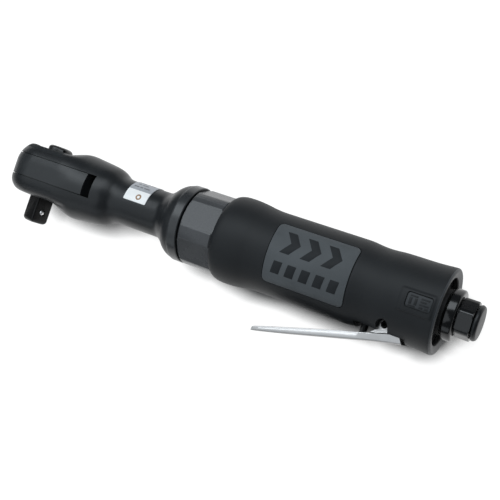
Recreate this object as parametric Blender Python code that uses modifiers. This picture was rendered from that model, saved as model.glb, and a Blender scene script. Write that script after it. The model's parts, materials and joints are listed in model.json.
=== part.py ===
"""Pneumatic 3/8 inch ratchet wrench, modelled as an assembly.

The tool lies on its side. X runs along the handle towards the air inlet, the drive square points along -Y and the
throttle lever hangs on the -Y side too. The origin is the centre of the drive square's end face, so the handle's
centre line runs along X at Y = AXIS_Y. All the numbers below are millimetres measured from that centre line, with
X = 0 on the drive axis. They become metres in the mesh helpers, and the empty "tool_axis" carries every piece to
its place.
"""

import math

import bmesh
import bpy
from mathutils import Matrix, Vector

MM = 0.001
WELD = 1e-6
GAP = 0.3                     # clearance between neighbouring pieces

# Sides of the round pieces, by their size
LARGE = 36
MEDIUM = 28
SMALL = 20
TINY = 12

# Driving dimensions
SQUARE = 9.53                 # 3/8 inch drive
SQUARE_TIP = 26.2             # centre line to the end of the square
AXIS_Y = SQUARE_TIP
CHEEK_TOP = 13.6
CHEEK_LOW = -12.6
YOKE_TOP = 7.6
YOKE_LOW = -4.4
NOSE_X = -1.4                 # centre of the head's rounded front
YOKE_BACK = 32.5
WINDOW_BACK = 37.3
NECK_R = 11.7
COLLAR_R = 19.4
COLLAR_END = 92.2
NUT_FRONT = 92.9
NUT_BACK = 110.8
NUT_APOTHEM = 18.1
NUT_TILT = 15.7               # a flat's middle, degrees from +Z towards +Y
SPIGOT_R = 15.9               # thread that carries the clamp nut
MOTOR_BORE = 14.2
SLEEVE_FRONT = 111.2
SLEEVE_BACK = 223.4
HOUSING_R = 17.5
GRIP_R = 20.05
SLEEVE_IN = HOUSING_R + GAP
HOUSING_BACK = 219.9
REAR_OPENING = 15.8
BOSS_R = 10.8
INLET_R = 12.0
INLET_HEX_TILT = 16.5         # a corner, degrees from +Z towards +Y
CAP_END = 239.0

# Drive train
TEETH_SUN = 15
TEETH_PLANET = 15
TEETH_RING = 45
MODULE = 0.5
PLANET_COUNT = 3
PLANET_CENTRE = MODULE * (TEETH_SUN + TEETH_PLANET) / 2
CRANK_THROW = 3.6
YOKE_TEETH = 40
VANE_COUNT = 5
ROTOR_R = 10.1
CYLINDER_BORE = 11.4
CYLINDER_OFFSET = 0.9

# Throttle
PIN_X = 200.6
PIN_Y = -14.0
LEVER_HALF = 9.0
LEVER_SHEET = 1.5
PLUNGER_X = 190.0
VALVE_X = 201.0

COLOURS = {
    "head": ((0.050, 0.053, 0.056), 0.42, 0.85),
    "yoke": ((0.056, 0.059, 0.062), 0.38, 0.9),
    "oxide": ((0.018, 0.019, 0.018), 0.35, 0.9),
    "steel": ((0.55, 0.56, 0.57), 0.28, 1.0),
    "spring": ((0.42, 0.43, 0.44), 0.35, 1.0),
    "nut": ((0.085, 0.089, 0.093), 0.36, 0.85),
    "casting": ((0.060, 0.062, 0.066), 0.48, 0.6),
    "grip": ((0.026, 0.028, 0.030), 0.55, 0.0),
    "badge": ((0.075, 0.082, 0.086), 0.50, 0.0),
    "label": ((0.80, 0.81, 0.82), 0.45, 0.0),
    "lever": ((0.72, 0.73, 0.75), 0.22, 1.0),
    "bronze": ((0.52, 0.36, 0.17), 0.40, 1.0),
    "vane": ((0.20, 0.12, 0.06), 0.65, 0.0),
    "seal": ((0.015, 0.015, 0.015), 0.70, 0.0),
    "felt": ((0.34, 0.33, 0.30), 0.95, 0.0),
    "inlet": ((0.016, 0.017, 0.018), 0.20, 0.6),
    "plug": ((0.045, 0.048, 0.050), 0.60, 0.0),
}


# ---------------------------------------------------------------- scene and materials

def clear_scene():
    for ob in list(bpy.data.objects):
        bpy.data.objects.remove(ob, do_unlink=True)


def new_collection(name):
    coll = bpy.data.collections.new(name)
    bpy.context.scene.collection.children.link(coll)
    return coll


def material(key):
    name = "mat_" + key
    if name in bpy.data.materials:
        return bpy.data.materials[name]
    colour, roughness, metallic = COLOURS[key]
    mat = bpy.data.materials.new(name)
    mat.use_nodes = True
    shader = mat.node_tree.nodes["Principled BSDF"]
    shader.inputs["Base Color"].default_value = (*colour, 1.0)
    shader.inputs["Roughness"].default_value = roughness
    shader.inputs["Metallic"].default_value = metallic
    mat.diffuse_color = (*colour, 1.0)
    return mat


def add_empty(name, location, parent=None):
    empty = bpy.data.objects.new(name, None)
    empty.empty_display_size = 0.01
    empty.location = Vector(location) * MM
    PARTS.objects.link(empty)
    empty.parent = parent
    return empty


# ---------------------------------------------------------------- shape helpers

AXIS_ROTATION = {
    "X": (0.0, math.pi / 2, 0.0),       # local z runs along +X
    "Y": (-math.pi / 2, 0.0, 0.0),      # local z runs along +Y
    "Z": (0.0, 0.0, 0.0),
}


def add_object(name, mesh, mat=None, axis="Z", origin=(0, 0, 0), parent=None):
    """Put a mesh in the scene. A piece with no material is a cutter."""
    ob = bpy.data.objects.new(name, mesh)
    ob.rotation_euler = AXIS_ROTATION[axis]
    ob.location = Vector(origin) * MM
    ob.parent = parent or TOOL_AXIS
    if mat is None:
        CUTTERS.objects.link(ob)
        ob.hide_render = True
        ob.display_type = "WIRE"
    else:
        PARTS.objects.link(ob)
        mesh.materials.append(material(mat))
    return ob


def turned(name, outer, inner=None, segments=MEDIUM, mat=None, axis="X", origin=(0, 0, 0), parent=None):
    """Revolve a profile of (position along the axis, radius), both lists given in rising position.

    With an inner profile the piece is a ring, without one it is solid through its axis.
    """
    points = [(r, 0.0, a) for a, r in reversed(outer)]
    if inner:
        points += [(r, 0.0, a) for a, r in inner]
    else:
        points = [(0.0, 0.0, outer[-1][0])] + points + [(0.0, 0.0, outer[0][0])]
    edges = [(i, i + 1) for i in range(len(points) - 1)]
    if inner:
        edges.append((len(points) - 1, 0))
    mesh = bpy.data.meshes.new(name)
    mesh.from_pydata([Vector(p) * MM for p in points], edges, [])
    ob = add_object(name, mesh, mat, axis, origin, parent)
    screw = ob.modifiers.new("turn", "SCREW")
    screw.steps = segments
    screw.render_steps = segments
    screw.use_merge_vertices = True
    screw.merge_threshold = WELD
    screw.use_smooth_shade = True
    return ob


def flat(name, loops, low, high, mat=None, axis="Y", origin=(0, 0, 0), parent=None):
    """Extrude flat outlines between two positions along an axis, the first loop outside and the others holes.

    Points are (Y, Z) on axis X, (X, Z) on axis Y and (X, Y) on axis Z.
    """
    turn = {"X": lambda p: (-p[1], p[0]), "Y": lambda p: (p[0], -p[1]), "Z": lambda p: p}[axis]
    curve = bpy.data.curves.new(name, "CURVE")
    curve.dimensions = "2D"
    curve.fill_mode = "BOTH"
    curve.extrude = (high - low) / 2 * MM
    for loop in loops:
        spline = curve.splines.new("POLY")
        spline.points.add(len(loop) - 1)
        spline.use_cyclic_u = True
        for point, place in zip(spline.points, loop):
            u, v = turn(place)
            point.co = (u * MM, v * MM, 0.0, 1.0)
    maker = bpy.data.objects.new(name + "_curve", curve)
    bpy.context.scene.collection.objects.link(maker)
    bpy.context.view_layer.update()
    evaluated = maker.evaluated_get(bpy.context.evaluated_depsgraph_get())
    mesh = bpy.data.meshes.new_from_object(evaluated)
    bpy.data.objects.remove(maker, do_unlink=True)
    mesh.name = name
    shape = bmesh.new()
    shape.from_mesh(mesh)
    bmesh.ops.remove_doubles(shape, verts=shape.verts, dist=WELD)
    bmesh.ops.translate(shape, verts=shape.verts, vec=(0, 0, (low + high) / 2 * MM))
    bmesh.ops.recalc_face_normals(shape, faces=shape.faces)
    shape.to_mesh(mesh)
    shape.free()
    return add_object(name, mesh, mat, axis, origin, parent)


def block(name, low, high, mat=None, origin=(0, 0, 0), parent=None, bevel=0.0):
    """A box between two corners, with an optional bevel on all its edges."""
    size = Vector(high) - Vector(low)
    middle = (Vector(high) + Vector(low)) / 2
    shape = bmesh.new()
    place = Matrix.Translation(middle * MM) @ Matrix.Diagonal((*(size * MM), 1.0))
    bmesh.ops.create_cube(shape, size=1.0, matrix=place)
    if bevel:
        bmesh.ops.bevel(shape, geom=shape.edges, offset=bevel * MM, segments=1, affect="EDGES")
    mesh = bpy.data.meshes.new(name)
    shape.to_mesh(mesh)
    shape.free()
    return add_object(name, mesh, mat, "Z", origin, parent)


def rod(name, axis, at, low, high, radius, segments=TINY, mat=None, parent=None, origin=(0, 0, 0)):
    """A round bar along an axis; "at" holds its other two coordinates in X, Y, Z order."""
    slot = "XYZ".index(axis)
    place = list(at)
    place.insert(slot, 0.0)
    place = [a - b for a, b in zip(place, origin)]
    shape = bmesh.new()
    turn = {"X": Matrix.Rotation(math.pi / 2, 4, "Y"), "Y": Matrix.Rotation(-math.pi / 2, 4, "X"),
            "Z": Matrix.Identity(4)}[axis]
    place[slot] = (low + high) / 2 - origin[slot]
    bmesh.ops.create_cone(shape, cap_ends=True, segments=segments, radius1=radius * MM, radius2=radius * MM,
                          depth=(high - low) * MM, matrix=Matrix.Translation(Vector(place) * MM) @ turn)
    mesh = bpy.data.meshes.new(name)
    shape.to_mesh(mesh)
    shape.free()
    return add_object(name, mesh, mat, "Z", origin, parent)


def coil(name, turns, start, end, radius, wire, mat, axis, origin=(0, 0, 0), parent=None, taper=1.0):
    """A helical spring along an axis, with closed wire ends. taper scales its far end's radius."""
    steps = 8
    curve = bpy.data.curves.new(name, "CURVE")
    curve.dimensions = "3D"
    curve.bevel_depth = wire / 2 * MM
    curve.bevel_resolution = 1
    curve.use_fill_caps = True
    spline = curve.splines.new("POLY")
    count = int(turns * steps) + 1
    spline.points.add(count - 1)
    for i, point in enumerate(spline.points):
        share = i / (count - 1)
        angle = 2 * math.pi * i / steps
        r = radius * (1 + (taper - 1) * share)
        z = start + wire / 2 + (end - start - wire) * share
        point.co = (r * math.cos(angle) * MM, r * math.sin(angle) * MM, z * MM, 1.0)
    ob = bpy.data.objects.new(name, curve)
    ob.rotation_euler = AXIS_ROTATION[axis]
    ob.location = Vector(origin) * MM
    ob.parent = parent or TOOL_AXIS
    curve.materials.append(material(mat))
    PARTS.objects.link(ob)
    return ob


def boolean(ob, other, operation):
    mod = ob.modifiers.new(operation.lower(), "BOOLEAN")
    mod.operation = operation
    mod.object = other
    mod.solver = "EXACT"


def cut(ob, *cutters):
    for cutter in cutters:
        boolean(ob, cutter, "DIFFERENCE")


def join(ob, *others):
    for other in others:
        boolean(ob, other, "UNION")


def arc(centre, radius, start, end, count):
    """Points on an arc, with angles in degrees."""
    points = []
    for i in range(count):
        angle = math.radians(start + (end - start) * i / (count - 1))
        points.append((centre[0] + radius * math.cos(angle), centre[1] + radius * math.sin(angle)))
    return points


def circle(radius, count, centre=(0, 0)):
    return [(centre[0] + radius * math.cos(2 * math.pi * i / count),
             centre[1] + radius * math.sin(2 * math.pi * i / count)) for i in range(count)]


def ring(name, low, high, inside, outside, mat, segments=SMALL, axis="X", origin=(0, 0, 0), parent=None):
    return turned(name, [(low, outside), (high, outside)], [(low, inside), (high, inside)], segments, mat, axis,
                  origin, parent)


def gear_outline(teeth, centre=(0, 0), phase=0.0, internal=False):
    """Involute teeth with a little backlash. The first tooth is centred on the angle "phase"."""
    pitch = MODULE * teeth / 2
    pressure = math.radians(20)
    base = pitch * math.cos(pressure)
    backlash = 0.09
    sign = -1 if internal else 1
    tip = pitch + sign * 0.90 * MODULE
    root = pitch - sign * 1.25 * MODULE
    half_tooth = math.pi / (2 * teeth) - backlash / pitch

    def half_angle(r):
        def involute(radius):
            a = math.acos(min(1.0, base / max(radius, base)))
            return math.tan(a) - a
        return half_tooth + sign * (involute(pitch) - involute(r))

    radii = [root, pitch, tip]
    points = []
    for i in range(teeth):
        middle = phase + 2 * math.pi * i / teeth
        flank = [(r, half_angle(r)) for r in radii]
        for r, half in flank:
            points.append((r, middle - half))
        for r, half in reversed(flank):
            points.append((r, middle + half))
    return [(centre[0] + r * math.cos(a), centre[1] + r * math.sin(a)) for r, a in points]


# ---------------------------------------------------------------- head

HEAD_PROFILE = (
    [(CHEEK_LOW, 9.9)]
    + [(-5.0 - 7.6 * math.sin(math.radians(a)), 9.9 + 7.6 * math.cos(math.radians(a))) for a in (62, 40, 18, 0)]
    + [(3.0 + 13.8 * math.sin(math.radians(a)), 3.7 + 13.8 * math.cos(math.radians(a))) for a in (0, 17, 34)]
    + [(CHEEK_TOP, 12.5)]
)
BULB_PROFILE = [(8.5, 10.2), (10.5, 12.5), (14.0, 14.8), (18.0, 16.3), (23.0, 17.3), (30.0, 16.75), (38.0, 15.9),
                (42.0, 15.1), (44.5, 13.95), (47.0, 12.5), (50.0, 11.85), (54.0, NECK_R), (73.5, NECK_R),
                (76.0, 12.2), (78.0, 13.5), (80.0, 15.1), (82.0, 17.0), (84.0, 18.3), (87.1, 19.2),
                (87.6, COLLAR_R), (COLLAR_END, COLLAR_R)]


def head_block(name, mat=None):
    """The rounded block over the drive axis: the hull of two stacks of circles."""
    shape = bmesh.new()
    for shift in (NOSE_X, 15.0):
        for y, r in HEAD_PROFILE:
            for i in range(LARGE):
                angle = 2 * math.pi * i / LARGE
                shape.verts.new(Vector((shift + r * math.cos(angle), y, r * math.sin(angle))) * MM)
    hull = bmesh.ops.convex_hull(shape, input=shape.verts)
    inner = {v for v in hull["geom_interior"] + hull["geom_unused"] if isinstance(v, bmesh.types.BMVert)}
    bmesh.ops.delete(shape, geom=list(inner), context="VERTS")
    bmesh.ops.dissolve_limit(shape, angle_limit=math.radians(0.5), verts=shape.verts, edges=shape.edges)
    mesh = bpy.data.meshes.new(name)
    shape.to_mesh(mesh)
    shape.free()
    return add_object(name, mesh, mat)


def make_ratchet_housing():
    housing = head_block("ratchet_housing", "head")
    join(housing, turned("housing_bulb", BULB_PROFILE, segments=LARGE))
    slot = block("yoke_slot", (-20, YOKE_LOW, -22), (WINDOW_BACK, YOKE_TOP, 22))
    tail_room = block("tail_room", (WINDOW_BACK - 1, YOKE_LOW, -9.8), (45.6, 5.4, 9.8))
    bores = turned("housing_bores", [(42.5, 7.7), (51.2, 7.7), (51.2, 8.3), (83.5, 8.3), (83.5, SPIGOT_R + GAP),
                                     (COLLAR_END + 1, SPIGOT_R + GAP)], segments=MEDIUM)
    drive_bore = rod("drive_bore", "Y", (0, 0), CHEEK_LOW - 2, 11.8, 8.9, MEDIUM)
    ring_seat = rod("ring_seat", "Y", (0, 0), 11.7, CHEEK_TOP + 2, 10.4, MEDIUM)
    cut(housing, slot, tail_room, bores, drive_bore, ring_seat)
    return housing


def make_yoke():
    low = YOKE_LOW + GAP
    high = YOKE_TOP - GAP
    yoke = head_block("ratchet_yoke", "yoke")
    join(yoke, turned("yoke_bulb", BULB_PROFILE, segments=LARGE))
    boolean(yoke, block("yoke_limits", (-20, low, -20), (YOKE_BACK, high, 20)), "INTERSECT")
    arm = 5.6
    throat = 3.6
    tail = [(24.0, -arm), (43.0, -arm), (43.0, -throat), (37.5, -throat), (37.5, throat), (43.0, throat),
            (43.0, arm), (24.0, arm)]
    join(yoke, flat("yoke_tail", [tail], low + 0.4, 5.1))
    teeth = []
    for i in range(YOKE_TEETH):
        middle = 2 * math.pi * i / YOKE_TEETH
        step = 2 * math.pi / YOKE_TEETH
        teeth.append((12.2 * math.cos(middle), 12.2 * math.sin(middle)))
        teeth.append((13.0 * math.cos(middle + step / 2), 13.0 * math.sin(middle + step / 2)))
    cut(yoke, flat("yoke_teeth", [teeth], low - 1, high + 1))
    return yoke


def make_drive_anvil():
    anvil = turned("drive_anvil", [(CHEEK_LOW - 0.2, 8.0), (CHEEK_LOW + 0.4, 8.5), (YOKE_LOW + 0.4, 8.5),
                                   (YOKE_LOW + 0.4, 11.2), (YOKE_TOP - 0.4, 11.2), (YOKE_TOP - 0.4, 8.5),
                                   (11.7, 8.5)], segments=MEDIUM, mat="oxide", axis="Y")
    square = block("anvil_square", (-SQUARE / 2, -SQUARE_TIP, -SQUARE / 2), (SQUARE / 2, -12.0, SQUARE / 2),
                   bevel=0.8)
    square.rotation_euler = (0.0, math.radians(-22.5), 0.0)
    join(anvil, square)
    pawl_slot = block("pawl_slot", (2.0, -3.0, -13), (13, 6.2, 13))
    stem_bore = rod("stem_bore", "Y", (0, 0), -2.0, 13, 3.3, SMALL)
    pin_bore = rod("pawl_pin_bore", "Y", (7.4, 0), -3.7, 6.9, 1.8)
    ball_bore = rod("ball_bore", "X", (-19.5, 0), -1.5, 8.0, 1.9)
    ball_bore.rotation_euler = (0.0, math.radians(-22.5), 0.0)
    cut(anvil, pawl_slot, stem_bore, pin_bore, ball_bore)
    return anvil


def make_detent():
    angle = math.radians(22.5)
    reach = 3.87
    holder = add_empty("detent_axis", (reach * math.cos(angle), -19.5, reach * math.sin(angle)), TOOL_AXIS)
    shape = bmesh.new()
    bmesh.ops.create_uvsphere(shape, u_segments=12, v_segments=8, radius=1.6 * MM)
    mesh = bpy.data.meshes.new("detent_ball")
    shape.to_mesh(mesh)
    shape.free()
    add_object("detent_ball", mesh, "steel", parent=holder)
    spring = coil("detent_spring", 3, -4.9, -2.5, 1.15, 0.4, "spring", "X", parent=holder)
    spring.rotation_euler = (0.0, math.pi / 2 - angle, 0.0)


def make_pawl():
    pivot = (7.4, 0.0)
    outer = []
    for sign in (-1, 1):
        angles = [50, 45.5, 41, 36.5, 32, 18] if sign < 0 else [18, 32, 36.5, 41, 45.5, 50]
        for n, degrees in enumerate(angles):
            root = degrees in (36.5, 45.5)
            r = 10.7 if root else 11.5
            outer.append((r * math.cos(math.radians(degrees)), sign * r * math.sin(math.radians(degrees))))
    back = [(5.4, 7.4), (4.9, 3.0), (4.9, -3.0), (5.4, -7.4)]
    loop = outer + back
    loop = [(x - pivot[0], z) for x, z in loop]
    hole = circle(1.8, 12)
    holder = add_empty("pawl_pivot", (pivot[0], 0, 0), TOOL_AXIS)
    flat("pawl", [loop, hole], -2.6, 5.8, "steel", parent=holder)
    rod("pawl_pin", "Y", pivot, -3.3, 6.5, 1.5, mat="steel")


def make_reverse_knob():
    lug = [(3.0, -3.2), (7.5, -2.4), (8.2, -1.4), (8.2, 1.4), (7.5, 2.4), (3.0, 3.2)]
    top = 16.7
    knob = turned("reverse_knob", [(-1.0, 3.0), (13.9, 3.0), (13.9, 5.3), (14.2, 5.6), (15.4, 5.6), (16.3, 5.0),
                                   (top, 3.9)], segments=MEDIUM, mat="oxide", axis="Y")
    join(knob, flat("knob_lug", [lug], 13.9, 16.2))
    cut(knob, rod("plunger_bore", "X", (1.6, 0), -2.0, 5.0, 1.5))
    rod("reverse_plunger", "X", (1.6, 0), 1.0, 4.5, 1.2, mat="steel")
    coil("reverse_spring", 3, -1.7, 0.8, 0.95, 0.35, "spring", "X", origin=(0, 1.6, 0))
    ring("anvil_retaining_ring", 12.1, 13.1, 7.6, 10.1, "spring", MEDIUM, "Y")


# ---------------------------------------------------------------- gear train

def make_crankshaft():
    shaft = turned("crankshaft", [(47.6, 7.3), (50.4, 7.3), (50.4, 5.0), (92.0, 5.0), (92.0, 11.4), (94.7, 11.4)],
                   segments=SMALL, mat="steel")
    join(shaft, rod("crank_pin_core", "X", (CRANK_THROW, 0), 43.9, 49.0, 2.0))
    cut(shaft, rod("pinion_relief", "X", (0, 0), 94.0, 96.0, 5.0, SMALL))
    for n in range(PLANET_COUNT):
        y, z = planet_centre(n)
        cut(shaft, rod(f"planet_pin_bore_{n + 1}", "X", (y, z), 91.0, 96.0, 1.8))
    turned("crank_bushing", [(44.1, 3.4), (47.2, 3.4)], [(44.1, 2.3), (47.2, 2.3)], TINY, "bronze",
           origin=(0, CRANK_THROW, 0))
    ring("crank_needle_bearing", 53.0, 67.0, 5.3, 8.0, "steel")
    ring("crank_ball_bearing", 85.2, 91.6, 5.3, MOTOR_BORE - GAP, "steel", MEDIUM)


def planet_centre(n):
    angle = 2 * math.pi * n / PLANET_COUNT
    return PLANET_CENTRE * math.cos(angle), PLANET_CENTRE * math.sin(angle)


def make_gears():
    for n in range(PLANET_COUNT):
        angle = 2 * math.pi * n / PLANET_COUNT
        phase = angle + math.pi - math.pi / TEETH_PLANET + TEETH_SUN * angle / TEETH_PLANET
        y, z = planet_centre(n)
        outline = gear_outline(TEETH_PLANET, phase=phase)
        flat(f"planet_gear_{n + 1}", [outline, circle(1.8, TINY)], 95.2, 101.6, "steel", "X", (0, y, z))
        rod(f"planet_pin_{n + 1}", "X", (y, z), 92.3, 101.8, 1.5, mat="steel")
    teeth = gear_outline(TEETH_RING, phase=-math.pi / TEETH_RING, internal=True)
    flat("ring_gear", [circle(MOTOR_BORE - GAP, LARGE), teeth], 95.0, 102.0, "steel", "X")


def make_clamp_nut():
    nut = turned("clamp_nut", [(NUT_FRONT, 18.9), (NUT_FRONT + 0.5, COLLAR_R), (NUT_BACK, COLLAR_R)],
                 [(NUT_FRONT, SPIGOT_R + GAP), (NUT_BACK, SPIGOT_R + GAP)], LARGE, "nut")
    corner = NUT_APOTHEM / math.cos(math.pi / 6)
    hexagon = []
    for k in range(6):
        angle = math.radians(NUT_TILT + 30 + 60 * k)
        hexagon.append((corner * math.sin(angle), corner * math.cos(angle)))
    boolean(nut, flat("nut_flats", [hexagon], NUT_FRONT - 1, NUT_BACK + 1, axis="X"), "INTERSECT")


# ---------------------------------------------------------------- motor

MOTOR_FRONT = 102.3
CYLINDER_FRONT = MOTOR_FRONT + 5.3
CYLINDER_BACK = CYLINDER_FRONT + 45.0
MOTOR_BACK = CYLINDER_BACK + 5.3
DOWEL = (-12.4, 0.0)


def make_motor():
    core = MOTOR_BORE - GAP
    dowel_bore = rod("dowel_bore", "X", DOWEL, CYLINDER_FRONT - 2.3, CYLINDER_BACK + 2.3, 1.1)
    front = ring("front_end_plate", MOTOR_FRONT, CYLINDER_FRONT - GAP, 7.3, core, "casting", MEDIUM)
    cylinder = turned("cylinder_liner", [(CYLINDER_FRONT, core), (CYLINDER_BACK, core)], mat="steel")
    bore = rod("rotor_bore", "X", (CYLINDER_OFFSET, 0), CYLINDER_FRONT - 1, CYLINDER_BACK + 1, CYLINDER_BORE, MEDIUM)
    rear = ring("rear_end_plate", CYLINDER_BACK + GAP, MOTOR_BACK, 7.3, core, "casting", MEDIUM)
    cut(cylinder, bore, dowel_bore)
    cut(front, dowel_bore)
    cut(rear, dowel_bore)
    rod("cylinder_dowel", "X", DOWEL, CYLINDER_FRONT - 2.0, CYLINDER_BACK + 2.0, 0.8, mat="steel")
    ring("front_rotor_bearing", MOTOR_FRONT + 0.3, CYLINDER_FRONT - 0.6, 3.1, 7.0, "steel")
    ring("rear_rotor_bearing", CYLINDER_BACK + 0.6, MOTOR_BACK - 0.3, 3.1, 7.0, "steel")
    make_rotor()


def make_rotor():
    front = CYLINDER_FRONT + 0.3
    back = CYLINDER_BACK - 0.3
    journal = 2.8
    rotor = turned("rotor", [(101.8, journal), (front, journal), (front, ROTOR_R), (back, ROTOR_R), (back, journal),
                             (MOTOR_BACK + 1.0, journal)], segments=SMALL, mat="steel")
    join(rotor, flat("pinion_teeth", [gear_outline(TEETH_SUN)], 95.4, 102.0, axis="X"))
    for n in range(VANE_COUNT):
        angle = 2 * math.pi * n / VANE_COUNT
        slot = block(f"vane_slot_{n + 1}", (front - 1, 5.0, -1.1), (back + 1, 12.0, 1.1))
        slot.rotation_euler = (angle, 0.0, 0.0)
        cut(rotor, slot)
        vane = block(f"rotor_vane_{n + 1}", (front + 0.2, 5.4, -0.8), (back - 0.2, ROTOR_R, 0.8), "vane")
        vane.rotation_euler = (angle, 0.0, 0.0)


# ---------------------------------------------------------------- handle

def make_motor_housing():
    outer = [(84.8, SPIGOT_R), (NUT_BACK + GAP, SPIGOT_R), (NUT_BACK + GAP, HOUSING_R), (HOUSING_BACK, HOUSING_R)]
    housing = turned("motor_housing", outer, segments=LARGE, mat="casting")
    bore = turned("motor_bore", [(80.0, MOTOR_BORE), (MOTOR_BACK + 1.6, MOTOR_BORE), (MOTOR_BACK + 1.6, 4.2),
                                 (198.2, 4.2), (198.2, 8.2), (HOUSING_BACK + 5, 8.2)])
    recess = ring("exhaust_recess", 206.0, HOUSING_BACK + 5, BOSS_R, 15.6, None, MEDIUM)
    cut(housing, bore, recess)
    for k in range(3):
        angle = math.radians(60 * (k - 1))
        at = (13.0 * math.cos(angle), 13.0 * math.sin(angle))
        cut(housing, rod(f"exhaust_port_{k + 1}", "X", at, MOTOR_BACK, 208.0, 1.5))
    tongue = LEVER_HALF - LEVER_SHEET - GAP
    for side in (-1, 1):
        z = sorted((side * tongue, side * 20))
        ear_room = block(f"ear_room_{side + 2}", (194.0, -20, z[0]), (205.0, -10.6, z[1]))
        cut(housing, ear_room)
    lever_room = block("lever_room", (184.0, -20, -20), (211.2, -15.7, 20))
    plunger_bore = rod("plunger_guide", "Y", (PLUNGER_X, 0), -20, 0, 2.1)
    seal_room = rod("seal_groove", "Y", (PLUNGER_X, 0), -13.0, -10.8, 3.3)
    pin_bore = rod("pin_bore", "Z", (PIN_X, PIN_Y), -12, 12, 1.8)
    cut(housing, lever_room, plunger_bore, seal_room, pin_bore)
    return housing


SLEEVE_PROFILE = [(SLEEVE_FRONT, 19.0), (111.6, 20.3), (113.0, 21.2), (116.0, 21.7), (121.0, 21.6), (126.0, 21.2),
                  (130.0, 20.4), (134.0, GRIP_R), (182.0, GRIP_R), (186.0, 19.5), (190.0, 19.2), (194.0, 19.4),
                  (198.0, 19.8), (214.0, 19.8), (218.0, 20.15), (222.0, 20.4), (223.0, 20.1),
                  (SLEEVE_BACK, 19.4)]
BADGE_X = (140.8, 181.3)
BADGE_MIDDLE = 1.8            # degrees from +Z towards +Y
BADGE_HALF = 43.3


def make_grip_sleeve():
    inner = [(SLEEVE_FRONT, SLEEVE_IN), (HOUSING_BACK + GAP, SLEEVE_IN), (HOUSING_BACK + GAP, REAR_OPENING),
             (SLEEVE_BACK, REAR_OPENING)]
    sleeve = turned("grip_sleeve", SLEEVE_PROFILE, inner, LARGE, "grip")
    lever_room = block("sleeve_lever_room", (186.5, -25, -9.4), (211.2, -15.7, 9.4))
    ear_room = block("sleeve_ear_room", (194.0, -25, -9.4), (205.0, -10.6, 9.4))
    cut(sleeve, lever_room, ear_room)
    for side in (-1, 1):
        low, high = sorted((side * 9.0, side * 24))
        cut(sleeve, rod(f"ear_window_{side + 2}", "Z", (PIN_X - 0.6, PIN_Y), low, high, 3.3, SMALL))
        cut(sleeve, block(f"ear_notch_{side + 2}", (196.0, -18.2, low), (203.4, PIN_Y, high)))
    recess = curved_plate("badge_recess", BADGE_X[0] - GAP, BADGE_X[1] + GAP, 19.0, 22.0, BADGE_MIDDLE,
                          BADGE_HALF + 0.9)
    cut(sleeve, recess)
    return sleeve


def curved_plate(name, low, high, inside, outside, middle, half, mat=None, steps=12):
    """A piece of a tube's wall about the handle's axis, with angles in degrees from +Z towards +Y."""
    outline = []
    for r, order in ((outside, range(steps + 1)), (inside, range(steps, -1, -1))):
        for i in order:
            angle = math.radians(middle - half + 2 * half * i / steps)
            outline.append((r * math.sin(angle), r * math.cos(angle)))
    return flat(name, [outline], low, high, mat, "X")


def make_trim():
    curved_plate("badge_plate", *BADGE_X, 19.3, 20.3, BADGE_MIDDLE, BADGE_HALF, "badge")
    curved_plate("neck_label", 54.5, 68.5, NECK_R + GAP, NECK_R + 0.55, 62.0, 55.0, "label")


# ---------------------------------------------------------------- throttle and air inlet

def make_lever():
    """Pressed channel: a web on the outside, two flanges towards the grip, and an ear on each for the pin."""
    tip = (141.0, -37.6)
    low_line = [tip, (145.4, -36.7), (170.0, -30.25), (195.1, -23.5), (204.0, -21.4), (210.6, -20.1)]
    web_top = [(x, y + LEVER_SHEET) for x, y in low_line]
    ear = arc((PIN_X, PIN_Y), 2.5, 20, 170, 6)
    flange_top = [(208.0, -16.2), (204.0, -16.4), (203.0, -16.2)] + ear + [(197.4, -16.6), (195.6, -18.9),
                                                                        (191.5, -20.2), (144.4, -34.2),
                                                                        (141.2, -35.4)]
    holder = add_empty("lever_pivot", (PIN_X, PIN_Y, 0), TOOL_AXIS)

    def local(points):
        return [(x - PIN_X, y - PIN_Y) for x, y in points]

    lever = flat("throttle_lever", [local(low_line + web_top[::-1])], -LEVER_HALF, LEVER_HALF, "lever", "Z",
                 parent=holder)
    for side in (-1, 1):
        low, high = sorted((side * (LEVER_HALF - LEVER_SHEET), side * LEVER_HALF))
        hole = circle(1.8, TINY)
        join(lever, flat(f"lever_flange_{side + 2}", [local(low_line + flange_top), hole], low, high, axis="Z",
                         parent=holder))
    pin = turned("lever_pin", [(-9.3, 1.5), (9.3, 1.5)], [(-9.3, 0.8), (9.3, 0.8)], TINY, "oxide", "Z",
                 (PIN_X, PIN_Y, 0))
    pin.parent = TOOL_AXIS


def make_valve():
    plunger = turned("valve_plunger", [(-22.4, 1.2), (-22.0, 1.8), (-1.9, 1.8), (-1.6, 1.4)], segments=TINY,
                     mat="steel", axis="Y", origin=(PLUNGER_X, 0, 0))
    plunger.parent = TOOL_AXIS
    ring("plunger_seal", -12.6, -11.2, 2.1, 3.0, "seal", TINY, "Y", (PLUNGER_X, 0, 0))
    hinge = add_empty("valve_hinge", (VALVE_X, -6.0, 0), TOOL_AXIS)
    start = VALVE_X
    turned("throttle_valve", [(187.0 - start, 1.0), (187.4 - start, 1.3), (0.0, 1.3), (0.0, 6.0), (2.2, 6.0),
                              (2.2, 2.6), (3.2, 2.6)], segments=SMALL, mat="bronze", origin=(0, 6.0, 0), parent=hinge)
    ring("valve_seat", 198.5, VALVE_X - GAP, 4.5, 7.9, "bronze")
    coil("valve_spring", 3, 205.3, 208.9, 3.9, 0.7, "spring", "X", taper=1.5)


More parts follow.
